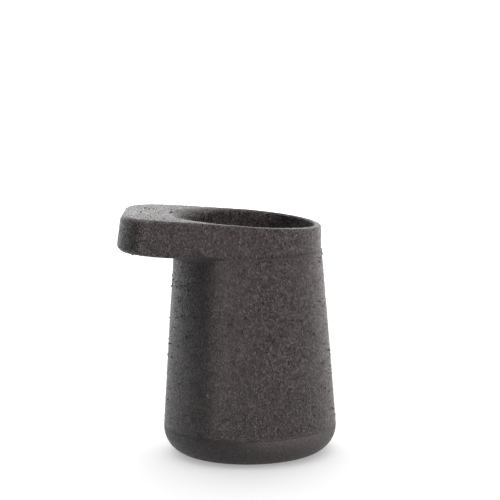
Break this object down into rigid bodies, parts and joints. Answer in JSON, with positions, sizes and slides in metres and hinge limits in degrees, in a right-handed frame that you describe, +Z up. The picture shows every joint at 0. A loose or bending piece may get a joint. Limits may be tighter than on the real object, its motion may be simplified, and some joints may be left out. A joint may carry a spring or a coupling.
{
  "type": "stoneware vase",
  "caption": "Small tapering stoneware vase with a rounded foot, a tilted flat top with a round mouth, and a blunt hollow brim reaching out over one side.",
  "frame": {"origin": "on the axis of the round body, in the plane of the flat foot", "axes": "+Z up along the body's axis, -X towards the tip of the brim, +Y across the brim"},
  "size_m": [0.1506, 0.1216, 0.1714],
  "materials": {
    "body_clay": "coarse grogged black stoneware, unglazed, dry matte",
    "base_clay": "the same black stoneware, wiped smoother, matte",
    "joining_slip": "fired black slip, matte",
    "lining_glaze": "thin black satin glaze"
  },
  "bodies": {
    "root": {"base_cup": "base_clay", "base_bead": "joining_slip", "body_wall": "body_clay", "collar_bead": "joining_slip", "brim_cap": "body_clay", "brim_soffit": "body_clay", "brim_coil": "body_clay", "lining_glaze": "lining_glaze"}
  },
  "joints": []
}
